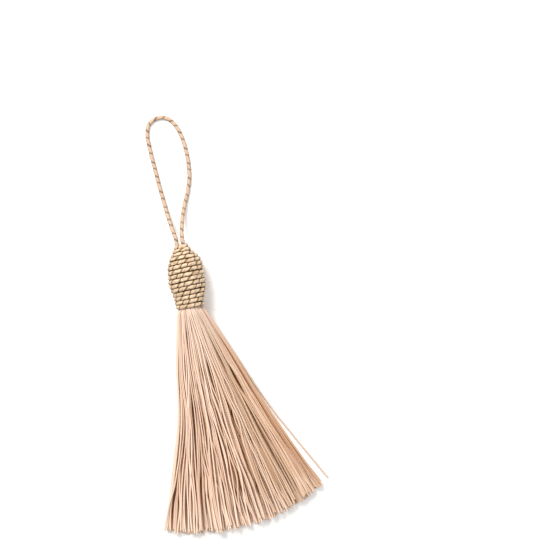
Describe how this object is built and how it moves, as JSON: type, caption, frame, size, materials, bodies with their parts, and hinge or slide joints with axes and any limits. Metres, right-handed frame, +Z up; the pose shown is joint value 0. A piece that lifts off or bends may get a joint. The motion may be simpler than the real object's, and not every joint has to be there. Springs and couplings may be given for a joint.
{
  "type": "tassel",
  "caption": "Silky hanging tassel: a barrel head wound with bound cord, a long fanned skirt of loose yarn, and a cord loop to hang it by, lying on its side.",
  "frame": {"origin": "on the surface that the tassel lies on, under one of the widest turns of its head, on the head's small flat", "axes": "+Y along the head's axis from the skirt towards the loop, +Z up from the surface, +X to the right seen from above"},
  "size_m": [0.0628, 0.1565, 0.0138],
  "materials": {
    "wound_cord": "silky bound cord, wound turn beside turn",
    "skirt_yarn": "silky loose yarn with a soft shine",
    "loop_cord": "silky bound cord"
  },
  "bodies": {
    "root": {"head": "wound_cord", "skirt": "skirt_yarn", "hanging_loop": "loop_cord"}
  },
  "joints": []
}
